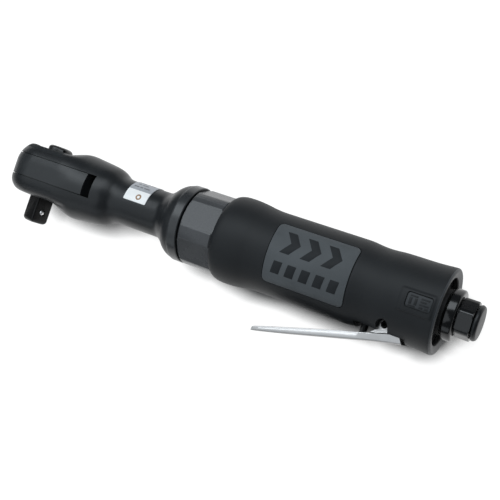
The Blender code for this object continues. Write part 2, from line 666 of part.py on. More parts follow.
def make_inlet():
    across = 17.0
    corner = across / 2 / math.cos(math.pi / 6)
    bushing = turned("inlet_bushing", [(209.3, 7.9), (224.0, 7.9), (224.0, 8.0), (229.6, 8.0)],
                     [(209.3, 5.2), (229.6, 5.2)], MEDIUM, "inlet")
    hexagon = [(corner * math.sin(a), corner * math.cos(a)) for a in
               (math.radians(INLET_HEX_TILT + 60 * k) for k in range(6))]
    join(bushing, flat("inlet_hex", [hexagon, circle(5.2, MEDIUM)], 229.4, 236.2, axis="X"))
    collar = turned("exhaust_collar", [(224.3, 11.2), (225.0, INLET_R), (228.2, INLET_R), (229.1, 11.2)],
                    [(224.3, 8.3), (229.1, 8.3)], MEDIUM, "inlet")
    ring("inlet_screen", 209.6, 211.6, 2.0, 4.9, "bronze")
    ring("muffler_felt", 207.0, 213.0, BOSS_R + 0.4, 15.2, "felt", MEDIUM)
    deflector = ring("exhaust_deflector", 213.6, 219.4, BOSS_R + 1.6, 15.2, "plug", MEDIUM)
    cut(deflector, block("deflector_mouth", (215.0, 8.0, -5.0), (221.0, 18.0, 5.0)))
    ring("inlet_seal", 220.6, 223.4, 8.3, BOSS_R - 0.2, "seal", MEDIUM)
    turned("inlet_plug", [(214.0, 4.4), (214.6, 4.8), (236.5, 4.8), (236.5, 8.2), (237.0, 8.3), (238.5, 8.1),
                          (CAP_END, 7.6)], mat="plug")
    return collar


# ---------------------------------------------------------------- assembly

def smooth_rounds():
    """Shade the round pieces smooth and keep their corners sharp."""
    for ob in PARTS.objects:
        if ob.type == "MESH" and ob.data.polygons:
            ob.data.shade_smooth()
            ob.data.set_sharp_from_angle(angle=math.radians(35))


clear_scene()
PARTS = new_collection("air_ratchet")
CUTTERS = new_collection("cutters")
TOOL_AXIS = add_empty("tool_axis", (0, AXIS_Y, 0))

make_ratchet_housing()
make_yoke()
make_drive_anvil()
make_detent()
make_pawl()
make_reverse_knob()
make_crankshaft()
make_gears()
make_clamp_nut()
make_motor()
make_motor_housing()
make_grip_sleeve()
make_trim()
make_lever()
make_valve()
make_inlet()
smooth_rounds()
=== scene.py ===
"""Detailed model of a pneumatic ratchet wrench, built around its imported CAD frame.

Shapes are written in millimetres in the tool's own frame: X along the handle, with X = 0 on the drive
axis, Y towards the reversing knob and Z up, measured from the handle's centre line. place() turns them
into the row frame.
"""

import json
import math

import bmesh
import bpy
import numpy as np
from mathutils import Matrix, Vector


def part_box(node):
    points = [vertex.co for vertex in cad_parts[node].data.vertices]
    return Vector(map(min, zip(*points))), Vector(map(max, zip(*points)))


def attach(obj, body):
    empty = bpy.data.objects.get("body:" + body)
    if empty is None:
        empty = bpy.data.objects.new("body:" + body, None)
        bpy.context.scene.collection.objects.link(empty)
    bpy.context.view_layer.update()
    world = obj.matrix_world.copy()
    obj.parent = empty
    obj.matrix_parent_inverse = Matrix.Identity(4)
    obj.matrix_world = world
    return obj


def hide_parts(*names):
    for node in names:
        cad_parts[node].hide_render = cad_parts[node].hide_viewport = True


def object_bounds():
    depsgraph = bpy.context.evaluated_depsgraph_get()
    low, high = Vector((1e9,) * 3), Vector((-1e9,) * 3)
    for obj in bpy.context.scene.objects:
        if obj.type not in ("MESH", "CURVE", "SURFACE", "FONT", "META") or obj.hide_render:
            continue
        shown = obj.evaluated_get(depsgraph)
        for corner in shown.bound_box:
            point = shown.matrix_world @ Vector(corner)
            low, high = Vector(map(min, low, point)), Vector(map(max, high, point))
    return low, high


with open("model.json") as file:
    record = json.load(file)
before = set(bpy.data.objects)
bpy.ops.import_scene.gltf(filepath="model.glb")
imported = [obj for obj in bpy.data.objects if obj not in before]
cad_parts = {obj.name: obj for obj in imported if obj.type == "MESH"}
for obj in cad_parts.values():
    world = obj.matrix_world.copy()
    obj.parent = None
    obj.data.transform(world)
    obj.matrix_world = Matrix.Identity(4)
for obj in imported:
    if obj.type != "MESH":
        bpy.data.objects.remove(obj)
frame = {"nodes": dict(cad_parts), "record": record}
CAD_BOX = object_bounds()
NODES = frame["nodes"]
MM = 0.001


def span(node, axis):
    """A CAD node's lowest and highest coordinate along an axis, in millimetres of the row frame."""
    low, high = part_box(node)
    index = "XYZ".index(axis)
    return low[index] / MM, high[index] / MM


# Places read from the frame
AXIS_Y = sum(span("clamp_nut", "Y")) / 2
NUT_FRONT, NUT_BACK = span("clamp_nut", "X")
SLEEVE_FRONT, SLEEVE_BACK = span("grip_sleeve", "X")
BADGE_X = span("badge_plate", "X")
COLLAR_END = span("ratchet_housing", "X")[1]

# Head, neck and yoke
NOSE_X, NOSE_R = -1.4, 17.5
BLOCK_BACK = 15.0
CHEEK_LOW, CHEEK_TOP = -12.6, 13.6
SEAT_DEPTH = 0.3
BLEND = 1.2
WINDOW_BACK = 37.3
YOKE_LOW, YOKE_TOP = -4.4, 7.6
YOKE_BACK = 32.5
GROOVE_LOW, GROOVE_TOP = 0.40, 0.30
YOKE_FIT = 0.06
NECK_R = 11.7
COLLAR_R = 19.4
SPIGOT_R = 16.2
BEYOND = 22.0  # a cutting block that reaches this far leaves nothing of the head outside it

# Drive square, its ball, the drum inside the yoke, and the yoke's inner teeth
SQUARE = 9.53
SQUARE_TIP = -AXIS_Y
SQUARE_TURN = math.radians(22.5)
BALL_Y = -20.1
BALL_R = 1.6
BALL_REACH = 3.65
DRUM_R = 11.2
JOURNAL_R = 8.5
TEETH, TOOTH_TIP_R, TOOTH_ROOT_R = 40, 12.2, 13.0

# Handle
NUT_APOTHEM = 18.1
NUT_TILT = 15.7
SLEEVE_IN = 17.8
REAR_OPENING = 15.8
HOUSING_BACK = 219.9
BADGE_FROM, BADGE_TO = -41.5, 45.1
BADGE_R = 19.3
PANEL_R = 19.6
PANEL_ROOM_R = 20.0

# Lever and its pin
PIN_X, PIN_Y = 200.6, -14.0
LEVER_HALF = 9.0
SHEET = 1.5
EAR_R = 2.55

# Air inlet
THREAD_R = 5.2
BUSHING_R = 8.0
HEX_FRONT = 229.5
HEX_APOTHEM = 8.5
HEX_TILT = 46.5
HEX_CORNER_R = 9.4
COLLAR_BORE = 8.35

# Widest flat strip of a sheet that is bent onto the handle
BEND_STEP = 1.2

# A mix node's colour sockets: its two inputs and its result
MIX_A, MIX_B, MIX_RESULT = 6, 7, 2


# ---------------------------------------------------------------- meshes

def place(points):
    """Tool millimetres to metres in the row frame."""
    points = np.asarray(points, float)
    return (points + (0.0, AXIS_Y, 0.0)) * MM


def new_object(name, points, faces):
    mesh = bpy.data.meshes.new(name)
    mesh.from_pydata(place(points).tolist(), [], faces)
    ob = bpy.data.objects.new(name, mesh)
    bpy.context.scene.collection.objects.link(ob)
    fix_normals(ob)
    return ob


def fix_normals(ob):
    shape = bmesh.new()
    shape.from_mesh(ob.data)
    bmesh.ops.remove_doubles(shape, verts=shape.verts, dist=1e-7)
    bmesh.ops.recalc_face_normals(shape, faces=shape.faces)
    shape.to_mesh(ob.data)
    shape.free()


def loft(name, rings, closed_ends=True):
    """Skin a list of rings, each an (n, 3) array of points that runs the same way round."""
    count = len(rings[0])
    points = np.concatenate(rings)
    faces = []
    for i in range(len(rings) - 1):
        a, b = i * count, (i + 1) * count
        for j in range(count):
            k = (j + 1) % count
            faces.append((a + j, a + k, b + k, b + j))
    if closed_ends:
        faces.append(tuple(range(count)))
        faces.append(tuple(range((len(rings) - 1) * count, len(rings) * count)))
    else:
        last = (len(rings) - 1) * count
        for j in range(count):
            k = (j + 1) % count
            faces.append((last + j, last + k, k, j))
    return new_object(name, points, faces)


def along_x(x, radius, angles):
    """A ring about the handle's axis. Angles run from +Z towards +Y."""
    level = np.full(angles.shape, float(x))
    radius = np.broadcast_to(radius, angles.shape)
    return np.stack([level, radius * np.sin(angles), radius * np.cos(angles)], axis=1)


def turned(name, profile, segments=96, axis="X", centre=(0.0, 0.0, 0.0)):
    """Revolve a closed profile of (position, radius). It may start and end on the axis, or be a ring."""
    angles = np.linspace(0, 2 * math.pi, segments, endpoint=False)
    rings = []
    for position, radius in profile:
        u, v = max(radius, 0.0) * np.sin(angles), max(radius, 0.0) * np.cos(angles)
        w = np.full(segments, float(position))
        ring = {"X": (w, u, v), "Y": (v, w, u), "Z": (u, v, w)}[axis]
        rings.append(np.stack(ring, axis=1) + np.array(centre))
    hollow = min(profile[0][1], profile[-1][1]) > 0
    return loft(name, rings, closed_ends=not hollow)


def smooth_curve(points, steps=6):
    """A rounded line through a list of points."""
    pts = np.array([points[0]] + list(points) + [points[-1]], float)
    out = []
    for i in range(1, len(pts) - 2):
        for t in np.linspace(0, 1, steps, endpoint=False):
            p0, p1, p2, p3 = pts[i - 1:i + 3]
            out.append(0.5 * (2 * p1 + (p2 - p0) * t + (2 * p0 - 5 * p1 + 4 * p2 - p3) * t ** 2
                              + (3 * p1 - p0 - 3 * p2 + p3) * t ** 3))
    out.append(pts[-1])
    return [tuple(p) for p in out]


def prism(name, outline, low, high, axis):
    """Extrude one outline along an axis; points are (Y, Z), (X, Z) or (X, Y) as the axis is X, Y or Z."""
    rings = []
    for level in (low, high):
        ring = [list(p) for p in outline]
        for p in ring:
            p.insert("XYZ".index(axis), level)
        rings.append(np.array(ring, float))
    return loft(name, rings)


def box(name, low, high):
    """A block between two corners."""
    shape = bmesh.new()
    size = Vector(high) - Vector(low)
    middle = (Vector(high) + Vector(low)) / 2
    placing = Matrix.Translation(middle) @ Matrix.Diagonal((*size, 1.0))
    bmesh.ops.create_cube(shape, size=1.0, matrix=placing)
    shape.verts.index_update()
    points = [tuple(v.co) for v in shape.verts]
    faces = [[v.index for v in f.verts] for f in shape.faces]
    shape.free()
    return new_object(name, points, faces)


def rod(name, axis, at, low, high, radius, segments=64):
    """A round bar; "at" holds its other two coordinates in X, Y, Z order."""
    centre = list(at)
    centre.insert("XYZ".index(axis), 0.0)
    return turned(name, [(low, 0.0), (low, radius), (high, radius), (high, 0.0)], segments, axis, centre)


def bake(ob):
    """Apply every modifier of an object."""
    evaluated = ob.evaluated_get(bpy.context.evaluated_depsgraph_get())
    mesh = bpy.data.meshes.new_from_object(evaluated)
    ob.modifiers.clear()
    ob.data = mesh


def combine(ob, operation, *others):
    for other in others:
        mod = ob.modifiers.new("combine", "BOOLEAN")
        mod.operation = operation
        mod.object = other
        mod.solver = "EXACT"
    bake(ob)
    for other in others:
        bpy.data.objects.remove(other, do_unlink=True)
    return ob


def cut(ob, *others):
    return combine(ob, "DIFFERENCE", *others)


def join(ob, *others):
    return combine(ob, "UNION", *others)


def soften(ob, width, angle=40, segments=3):
    """Round the sharp edges of an object."""
    mod = ob.modifiers.new("soften", "BEVEL")
    mod.width = width * MM
    mod.segments = segments
    mod.limit_method = "ANGLE"
    mod.angle_limit = math.radians(angle)
    bake(ob)
    return ob


def wrapped(name, loops, radius, low, high, edge=0.08):
    """Bend flat outlines onto the handle.

    A loop's points are (X, degrees from +Z towards +Y). The sheet runs from low to high above the
    radius, with rounded edges.
    """
    curve = bpy.data.curves.new(name, "CURVE")
    curve.dimensions = "2D"
    curve.fill_mode = "BOTH"
    curve.extrude = (high - low) / 2 - edge
    curve.bevel_depth = edge
    curve.bevel_resolution = 1
    for loop in loops:
        spline = curve.splines.new("POLY")
        spline.points.add(len(loop) - 1)
        spline.use_cyclic_u = True
        for point, (x, degrees) in zip(spline.points, loop):
            point.co = (x, math.radians(degrees) * radius, 0.0, 1.0)
    maker = bpy.data.objects.new(name + "_flat", curve)
    bpy.context.scene.collection.objects.link(maker)
    bpy.context.view_layer.update()
    evaluated = maker.evaluated_get(bpy.context.evaluated_depsgraph_get())
    flat = bpy.data.meshes.new_from_object(evaluated)
    bpy.data.objects.remove(maker, do_unlink=True)
    shape = bmesh.new()
    shape.from_mesh(flat)
    bmesh.ops.remove_doubles(shape, verts=shape.verts, dist=1e-4)
    reach = [v.co.y for v in shape.verts]
    for level in np.arange(min(reach) + BEND_STEP, max(reach), BEND_STEP):
        everything = shape.verts[:] + shape.edges[:] + shape.faces[:]
        bmesh.ops.bisect_plane(shape, geom=everything, dist=1e-5, plane_co=(0, level, 0), plane_no=(0, 1, 0))
    points = []
    for v in shape.verts:
        angle = v.co.y / radius
        r = radius + (low + high) / 2 + v.co.z
        points.append((v.co.x, r * math.sin(angle), r * math.cos(angle)))
    shape.verts.index_update()
    faces = [[v.index for v in f.verts] for f in shape.faces]
    shape.free()
    bpy.data.meshes.remove(flat)
    return new_object(name, points, faces)


def rounded_loop(x0, x1, a0, a1, corner, radius, count=7):
    """A rounded rectangle on the handle: corner in millimetres, angles in degrees."""
    turn = math.degrees(corner / radius)
    loop = []
    for cx, ca, start in ((x1 - corner, a1 - turn, 0), (x0 + corner, a1 - turn, 90),
                          (x0 + corner, a0 + turn, 180), (x1 - corner, a0 + turn, 270)):
        for i in range(count):
            t = math.radians(start + 90 * i / (count - 1))
            loop.append((cx + corner * math.cos(t), ca + turn * math.sin(t)))
    return loop


def merge(name, objects):
    """One object out of several, with no change to their shapes."""
    shape = bmesh.new()
    for ob in objects:
        shape.from_mesh(ob.data)
        bpy.data.objects.remove(ob, do_unlink=True)
    mesh = bpy.data.meshes.new(name)
    shape.to_mesh(mesh)
    shape.free()
    ob = bpy.data.objects.new(name, mesh)
    bpy.context.scene.collection.objects.link(ob)
    return ob


def hand_over(ob, body, material, nodes=(), sharp=38):
    """Shade a finished piece, give it its material, tie it to its CAD body and hide the CAD nodes it stands
    for.
    """
    ob.data.materials.clear()
    ob.data.materials.append(material)
    ob.data.shade_smooth()
    ob.data.set_sharp_from_angle(angle=math.radians(sharp))
    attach(ob, body)
    if nodes:
        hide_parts(*nodes)
    return ob


def repaint(ob, material, chosen):
    """Give a further material to the faces whose centres, in tool millimetres, are chosen."""
    ob.data.materials.append(material)
    for face in ob.data.polygons:
        x, y, z = face.center / MM
        if chosen(x, y - AXIS_Y, z):
            face.material_index = len(ob.data.materials) - 1


# ---------------------------------------------------------------- materials

def new_material(name, colour, roughness, metallic=0.0, specular=0.5, grain=(2600.0, 0.05),
                 mottle=(55.0, 0.10), colour_change=0.10, wear=0.0, brushed=None, lathe=False):
    """A procedural surface.

    grain is the scale and height of the fine bump, mottle the scale and depth of the roughness clouds,
    wear the amount of light rubbing on edges, brushed three scales that stretch the grain along one
    direction, and lathe adds turning lines round the handle's axis.
    """
    mat = bpy.data.materials.new(name)
    mat.use_nodes = True
    tree = mat.node_tree
    shader = tree.nodes["Principled BSDF"]
    shader.inputs["Metallic"].default_value = metallic
    shader.inputs["Specular IOR Level"].default_value = specular
    mat.diffuse_color = (*colour, 1.0)

    def add(kind, **inputs):
        node = tree.nodes.new(kind)
        for key, value in inputs.items():
            node.inputs[key.replace("_", " ")].default_value = value
        return node

    def link(a, out, b, into):
        tree.links.new(a.outputs[out], b.inputs[into])

    coords = tree.nodes.new("ShaderNodeTexCoord")
    fine = add("ShaderNodeTexNoise", Scale=grain[0], Detail=3.0)
    if brushed:
        mapping = add("ShaderNodeMapping", Scale=brushed)
        link(coords, "Object", mapping, "Vector")
        link(mapping, "Vector", fine, "Vector")
    else:
        link(coords, "Object", fine, "Vector")
    bump = add("ShaderNodeBump", Strength=grain[1], Distance=0.0004)
    link(fine, "Fac", bump, "Height")
    if lathe:
        lines = add("ShaderNodeTexWave", Scale=850.0, Distortion=0.6, Detail=1.0)
        lines.bands_direction = "X"
        link(coords, "Object", lines, "Vector")
        turning = add("ShaderNodeBump", Strength=0.03, Distance=0.0003)
        link(lines, "Fac", turning, "Height")
        link(turning, "Normal", bump, "Normal")
    link(bump, "Normal", shader, "Normal")

    clouds = add("ShaderNodeTexNoise", Scale=mottle[0], Detail=5.0, Roughness=0.6)
    link(coords, "Object", clouds, "Vector")
    rough = add("ShaderNodeMapRange", From_Min=0.3, From_Max=0.7,
                To_Min=roughness - mottle[1] / 2, To_Max=roughness + mottle[1] / 2)
    link(clouds, "Fac", rough, "Value")
    link(rough, "Result", shader, "Roughness")

    tone = tree.nodes.new("ShaderNodeValToRGB")
    tone.color_ramp.elements[0].position = 0.3
    tone.color_ramp.elements[1].position = 0.7
    tone.color_ramp.elements[0].color = (*[c * (1 - colour_change) for c in colour], 1)
    tone.color_ramp.elements[1].color = (*[c * (1 + colour_change) for c in colour], 1)
    link(clouds, "Fac", tone, "Fac")
    if not wear:
        link(tone, "Color", shader, "Base Color")
        return mat
    geometry = tree.nodes.new("ShaderNodeNewGeometry")
    rubbed = add("ShaderNodeMapRange", From_Min=0.53, From_Max=0.66, To_Min=0.0, To_Max=wear)
    link(geometry, "Pointiness", rubbed, "Value")
    scratches = add("ShaderNodeTexNoise", Scale=420.0, Detail=4.0)
    link(coords, "Object", scratches, "Vector")
    amount = tree.nodes.new("ShaderNodeMath")
    amount.operation = "MULTIPLY"
    link(rubbed, "Result", amount, 0)
    link(scratches, "Fac", amount, 1)
    mix = tree.nodes.new("ShaderNodeMix")
    mix.data_type = "RGBA"
    link(amount, "Value", mix, "Factor")
    link(tone, "Color", mix, MIX_A)
    mix.inputs[MIX_B].default_value = (*[min(1.0, 0.10 + 2.5 * c) for c in colour], 1)
    link(mix, MIX_RESULT, shader, "Base Color")
    return mat


HEAD = new_material("head_satin", (0.013, 0.0145, 0.016), 0.36, specular=0.28, grain=(2200, 0.06),
                    mottle=(70, 0.10), wear=0.35)
COLLAR = new_material("collar_turned", (0.028, 0.030, 0.032), 0.29, specular=0.40, grain=(2200, 0.05),
                      mottle=(60, 0.06), wear=0.3, lathe=True)
# Painted shade: a dull, nearly unreflecting finish for the head round the knob's seat, which hides the
# highlight there in place of the knob's shade.
SEAT_PAINTED_SHADE = new_material("knob_seat", (0.022, 0.024, 0.026), 0.60, specular=0.06, grain=(2200, 0.06),
                    mottle=(70, 0.10))
YOKE = new_material("yoke_satin", (0.016, 0.018, 0.0195), 0.38, specular=0.36, grain=(2200, 0.05),
                    mottle=(60, 0.10), wear=0.3)
OXIDE = new_material("black_oxide", (0.006, 0.0065, 0.0065), 0.32, specular=0.4, grain=(1800, 0.10),
                     mottle=(120, 0.16), wear=0.25)
DRIVE = new_material("drive_oxide", (0.0028, 0.003, 0.003), 0.32, specular=0.27, grain=(1800, 0.10),
                     mottle=(120, 0.14), wear=0.6)
# Painted shade: a near-black, unreflecting finish for the lever's pin in its hole and the seams beside the
# ears, where shade falls.
PAINTED_SHADE_BLACK = new_material("pin_and_seam_painted_shade", (0.002, 0.002, 0.002), 0.6, specular=0.1, grain=(1800, 0.10),
                   mottle=(120, 0.10))
BALL = new_material("polished_ball", (0.85, 0.85, 0.85), 0.42, metallic=1.0, grain=(2400, 0.03))
STEEL = new_material("ground_steel", (0.55, 0.56, 0.57), 0.26, metallic=1.0, grain=(2400, 0.05), lathe=True)
SPRING = new_material("spring_steel", (0.42, 0.43, 0.44), 0.34, metallic=1.0, grain=(2400, 0.04))
NUT = new_material("nut_satin", (0.050, 0.052, 0.055), 0.27, specular=0.32, grain=(1500, 0.05),
                   mottle=(60, 0.06), wear=0.3, brushed=(0.15, 1.0, 1.0))
CASTING = new_material("casting", (0.05, 0.052, 0.055), 0.48, metallic=0.6, grain=(900, 0.12),
                       mottle=(90, 0.14))
GRIP = new_material("grip_rubber", (0.0105, 0.012, 0.0134), 0.53, specular=0.235, grain=(3200, 0.10),
                    mottle=(45, 0.08))
PANEL = new_material("panel_face", (0.028, 0.031, 0.034), 0.55, specular=0.28, grain=(3200, 0.12),
                     mottle=(45, 0.08))
# Painted highlight: a lighter, glossier copy of the grip rubber for the sleeve's rear rim, where light
# catches the rim.
RIM_PAINTED_HIGHLIGHT = new_material("sleeve_rim_painted_highlight", (0.040, 0.044, 0.048), 0.45, specular=0.35, grain=(3200, 0.08),
                   mottle=(45, 0.08))
BADGE = new_material("badge_plastic", (0.074, 0.081, 0.086), 0.62, specular=0.2, grain=(4200, 0.20),
                     mottle=(80, 0.08))
RELIEF = new_material("badge_relief", (0.013, 0.015, 0.017), 0.60, specular=0.2, grain=(4200, 0.16),
                      mottle=(80, 0.08))
FILM = new_material("label_silver", (0.36, 0.37, 0.39), 0.42, grain=(1600, 0.03), mottle=(140, 0.12))
WHITE = new_material("label_white", (0.88, 0.88, 0.87), 0.40, grain=(1600, 0.02), mottle=(140, 0.08),
                     colour_change=0.03)
MARK = new_material("label_marks", (0.16, 0.16, 0.17), 0.5, grain=(1600, 0.03))
SEAL_RING = new_material("label_ring", (0.30, 0.17, 0.08), 0.45, grain=(1600, 0.03))
LEVER = new_material("lever_plating", (0.44, 0.43, 0.425), 0.36, metallic=1.0, grain=(1400, 0.035),
                     mottle=(50, 0.08), brushed=(0.10, 1.0, 1.0))
BRONZE = new_material("bronze", (0.52, 0.36, 0.17), 0.36, metallic=1.0, lathe=True)
VANE = new_material("vane_laminate", (0.20, 0.12, 0.06), 0.62, grain=(1200, 0.20), brushed=(0.2, 1.0, 1.0))
SEAL = new_material("seal_rubber", (0.015, 0.015, 0.015), 0.62, grain=(1800, 0.10))
FELT = new_material("felt", (0.34, 0.33, 0.30), 0.95, specular=0.1, grain=(1100, 0.6), colour_change=0.2)
INLET = new_material("inlet_black", (0.005, 0.0055, 0.006), 0.17, specular=0.42, grain=(1600, 0.05),
                     mottle=(90, 0.05), wear=0.15)
CAP = new_material("cap_plastic", (0.008, 0.009, 0.010), 0.40, specular=0.30, grain=(2400, 0.12),
                   mottle=(80, 0.10))

FINISH = {"head": HEAD, "yoke": YOKE, "oxide": OXIDE, "steel": STEEL, "spring": SPRING, "nut": NUT,
          "casting": CASTING, "grip": GRIP, "badge": BADGE, "label": FILM, "lever": LEVER, "bronze": BRONZE,
          "vane": VANE, "seal": SEAL, "felt": FELT, "inlet": INLET, "plug": CAP}
# Painted shade: the valve plunger and the lever pin sit in shade under the sleeve and in the ear's hole, so
# they get dark finishes.
PAINTED_SHADE_FINISH = {"valve_plunger": OXIDE, "lever_pin": PAINTED_SHADE_BLACK}


def dress_cad():
    """Give every CAD node the procedural material of its slot; the valve plunger and the lever pin get dark
    finishes instead, painted shade for where they sit.
    """
    for row in frame["record"]["subparts"]:
        ob = NODES[row["node"]]
        ob.data.materials.clear()
        ob.data.materials.append(PAINTED_SHADE_FINISH.get(row["node"], FINISH[row["material_slot"]]))


# ---------------------------------------------------------------- head

# The head's radius along the handle, from behind the drive axis to the collar
BULB = smooth_curve([(0.0, -12.0), (6.0, 3.5), (8.5, 10.0), (10.5, 12.4), (14.0, 14.7), (18.0, 16.3),
                     (23.0, 17.25), (30.0, 16.75), (38.0, 15.9), (42.0, 15.1), (44.5, 13.95), (47.0, 12.5),
                     (50.0, 11.85), (54.0, NECK_R), (62.0, NECK_R), (72.0, NECK_R), (74.2, 11.75),
                     (76.0, 12.2), (78.0, 13.5), (80.0, 15.1), (82.0, 17.0), (84.0, 18.25), (85.6, 18.8),
                     (87.0, 19.15)])
BULB += [(87.3, COLLAR_R), (COLLAR_END + 3, COLLAR_R)]


def ease(value, start, end):
    """A smooth step from 0 at the start to 1 at the end."""
    t = np.clip((value - start) / (end - start), 0.0, 1.0)
    return t * t * (3 - 2 * t)


def smooth_max(a, b, k):
    """The larger of two fields, blended over a width k."""
    h = np.clip(0.5 + 0.5 * (a - b) / k, 0.0, 1.0)
    return b * (1 - h) + a * h + k * h * (1 - h)


def head_field(x, y, z):
    """Below zero inside the head.

    A rounded block over the drive axis, with a shallow flat seat for the knob, is blended into the
    turned bulb and neck.
    """
    low_from, low_radius = -5.0, 7.6
    top_from, top_radius = 3.0, 13.8
    low_drop = np.sqrt(np.clip(low_radius ** 2 - (y - low_from) ** 2, 0, None)) - low_radius
    top_drop = np.sqrt(np.clip(top_radius ** 2 - (y - top_from) ** 2, 0, None)) - top_radius
    reach = NOSE_R + np.where(y < low_from, low_drop, np.where(y > top_from, top_drop, 0.0))
    block = np.hypot(x - np.clip(x, NOSE_X, BLOCK_BACK), z) - reach
    knob_seat = ease(x, -6.6, -4.8) * (1 - ease(x, 8.0, 10.5))
    block = smooth_max(block, y - CHEEK_TOP + SEAT_DEPTH * knob_seat, BLEND - 0.9 * knob_seat)
    block = smooth_max(block, CHEEK_LOW - y, BLEND)
    profile = np.array(BULB)
    bulb = np.hypot(y, z) - np.interp(x, profile[:, 0], profile[:, 1])
    return -smooth_max(-block, -bulb, 2.6)


def head_shell(name, inset=0.0):
    """The head's skin, found along rays from the drive axis in front and from the handle's axis behind."""
    angles = np.linspace(0, 2 * math.pi, 168, endpoint=False)
    tilts = np.radians(np.linspace(90, 2.5, 44))
    origins, directions = [], []
    for tilt in tilts[::-1]:
        origins.append(np.zeros((len(angles), 3)))
        directions.append(along_x(-math.cos(tilt), math.sin(tilt), angles))
    stations = np.concatenate([np.arange(0.6, 54, 0.6), np.arange(54, 72, 2.0), np.arange(72, 86.8, 0.7),
                               [86.95, 87.3, 88.0, 90.0, COLLAR_END - 0.35, COLLAR_END]])
    for x in stations:
        origins.append(np.tile([x, 0.0, 0.0], (len(angles), 1)))
        directions.append(along_x(0.0, 1.0, angles))
    origins, directions = np.array(origins), np.array(directions)
    near = np.zeros(origins.shape[:2])
    far = np.full(origins.shape[:2], 40.0)
    for _ in range(40):
        middle = (near + far) / 2
        p = origins + directions * middle[..., None]
        inside = head_field(p[..., 0], p[..., 1], p[..., 2]) < -inset
        near = np.where(inside, middle, near)
        far = np.where(inside, far, middle)
    points = origins + directions * near[..., None]
    points[-1, :, 1:] *= (COLLAR_R - 0.35) / COLLAR_R
    return loft(name, list(points))


def make_head():
    """The forged head with its slot and bores, a turned collar, and painted shade round the knob: a matt seat
    finish that hides the highlight there.
    """
    housing = head_shell("ratchet_housing_body")
    bores = [(42.5, 0), (42.5, 7.7), (51.2, 7.7), (51.2, 8.3), (83.5, 8.3), (83.5, SPIGOT_R),
             (COLLAR_END + 1, SPIGOT_R), (COLLAR_END + 1, 0)]
    drive_bore = [(CHEEK_LOW - 2, 0), (CHEEK_LOW - 2, 10.0), (CHEEK_LOW, 9.6), (CHEEK_LOW + 0.7, 8.9),
                  (11.8, 8.9), (11.8, 10.4), (CHEEK_TOP + 2, 10.4), (CHEEK_TOP + 2, 0)]
    cut(housing,
        box("slot", (-BEYOND, YOKE_LOW, -BEYOND), (WINDOW_BACK, YOKE_TOP, BEYOND)),
        box("tail_room", (WINDOW_BACK - 1, YOKE_LOW, -9.8), (45.6, 5.4, 9.8)),
        turned("bores", bores),
        turned("drive_bore", drive_bore, axis="Y"))
    hand_over(housing, "housing", HEAD, ["ratchet_housing"])
    repaint(housing, COLLAR, lambda x, y, z: x > 86.9 and math.hypot(y, z) > COLLAR_R - 0.8)
    # Painted shade: the top of the head round the knob gets the dull seat finish.
    repaint(housing, SEAT_PAINTED_SHADE, lambda x, y, z: -12.0 < x < 13.0 and y > CHEEK_TOP - 2.4)


def yoke_slice(name, inset, low, high, back):
    """The part of the head's shape between two heights, drawn in by an inset."""
    slab = head_shell(name, inset)
    return combine(slab, "INTERSECT", box("limits", (-BEYOND, low, -BEYOND), (back, high, BEYOND)))


def make_yoke():
    """The swinging yoke: grooves beside its skin, a core that fills them, a fork and inner teeth."""
    low, high = YOKE_LOW + GROOVE_LOW, YOKE_TOP - GROOVE_TOP
    yoke = yoke_slice("ratchet_yoke_body", 0.03, low, high, YOKE_BACK)
    join(yoke, yoke_slice("yoke_core", 0.8, YOKE_LOW + YOKE_FIT, YOKE_TOP - YOKE_FIT, YOKE_BACK - 2))
    fork = [(24.0, -5.6), (43.0, -5.6), (43.0, -3.6), (37.5, -3.6), (37.5, 3.6), (43.0, 3.6), (43.0, 5.6),
            (24.0, 5.6)]
    join(yoke, prism("tail", fork, low + 0.4, 5.1, "Y"))
    teeth = []
    for i in range(2 * TEETH):
        r = TOOTH_TIP_R if i % 2 == 0 else TOOTH_ROOT_R
        teeth.append((r * math.cos(math.pi * i / TEETH), r * math.sin(math.pi * i / TEETH)))
    cut(yoke, prism("teeth", teeth, low - 1, high + 1, "Y"))
    hand_over(yoke, "yoke", YOKE, ["ratchet_yoke"])


def square_ring(y, inset, corner=0.9):
    """The drive square's outline with rounded corners, drawn in by an inset."""
    half = SQUARE / 2 - inset
    points = []
    for quarter in range(4):
        for step in range(5):
            a = math.radians(90 * quarter + 22.5 * step)
            turn = math.radians(90 * quarter + 45)
            x = math.sqrt(2) * (half - corner) * math.cos(turn) + corner * math.cos(a)
            z = math.sqrt(2) * (half - corner) * math.sin(turn) + corner * math.sin(a)
            points.append((x * math.cos(SQUARE_TURN) - z * math.sin(SQUARE_TURN), y,
                           x * math.sin(SQUARE_TURN) + z * math.cos(SQUARE_TURN)))
    return np.array(points)


